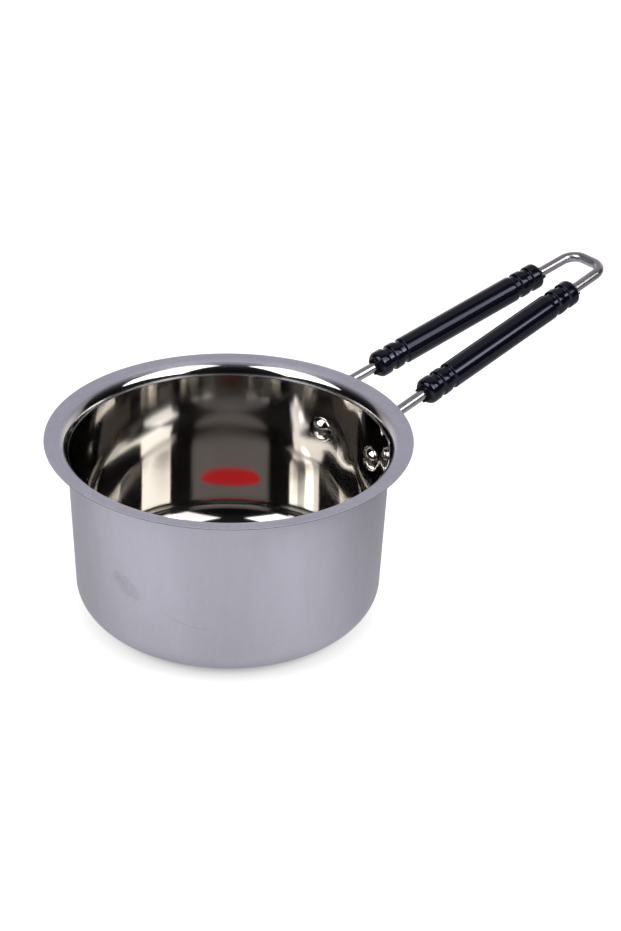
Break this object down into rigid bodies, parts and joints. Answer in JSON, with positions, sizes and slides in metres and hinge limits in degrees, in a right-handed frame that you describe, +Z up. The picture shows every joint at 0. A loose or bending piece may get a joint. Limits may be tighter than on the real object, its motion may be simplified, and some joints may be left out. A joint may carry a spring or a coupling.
{
  "type": "saucepan",
  "caption": "Open saucepan with tapering sides, a flared rim for pouring and a lid, and a rising wire loop handle carrying two turned grips.",
  "frame": {"origin": "middle of the flat base, on the surface the pan stands on", "axes": "+X from the pan's axis out along the handle, +Z up"},
  "size_m": [0.3446, 0.184, 0.1286],
  "materials": {
    "satin_steel": "satin outside and on the rim, mirror polished inside",
    "bright_steel": "bright drawn wire",
    "polished_steel": "polished",
    "black_plastic": "semi-gloss",
    "black_liner": "matt",
    "red_label": "printed film, blank"
  },
  "bodies": {
    "pan": {"pan_body": "satin_steel", "handle_wire": "bright_steel", "left_rivet": "polished_steel", "right_rivet": "polished_steel", "left_grip_liner": "black_liner", "right_grip_liner": "black_liner", "floor_label": "red_label"},
    "left_grip": {"left_grip": "black_plastic"},
    "right_grip": {"right_grip": "black_plastic"}
  },
  "joints": [
    {"name": "left_grip_turn", "type": "hinge", "parent": "pan", "child": "left_grip", "pos_m": [0.16815, 0.01648, 0.10677], "axis": [0.9722, -0.0533, 0.228], "continuous": true},
    {"name": "right_grip_turn", "type": "hinge", "parent": "pan", "child": "right_grip", "pos_m": [0.16815, -0.01648, 0.10677], "axis": [0.9722, 0.0533, 0.228], "continuous": true}
  ]
}
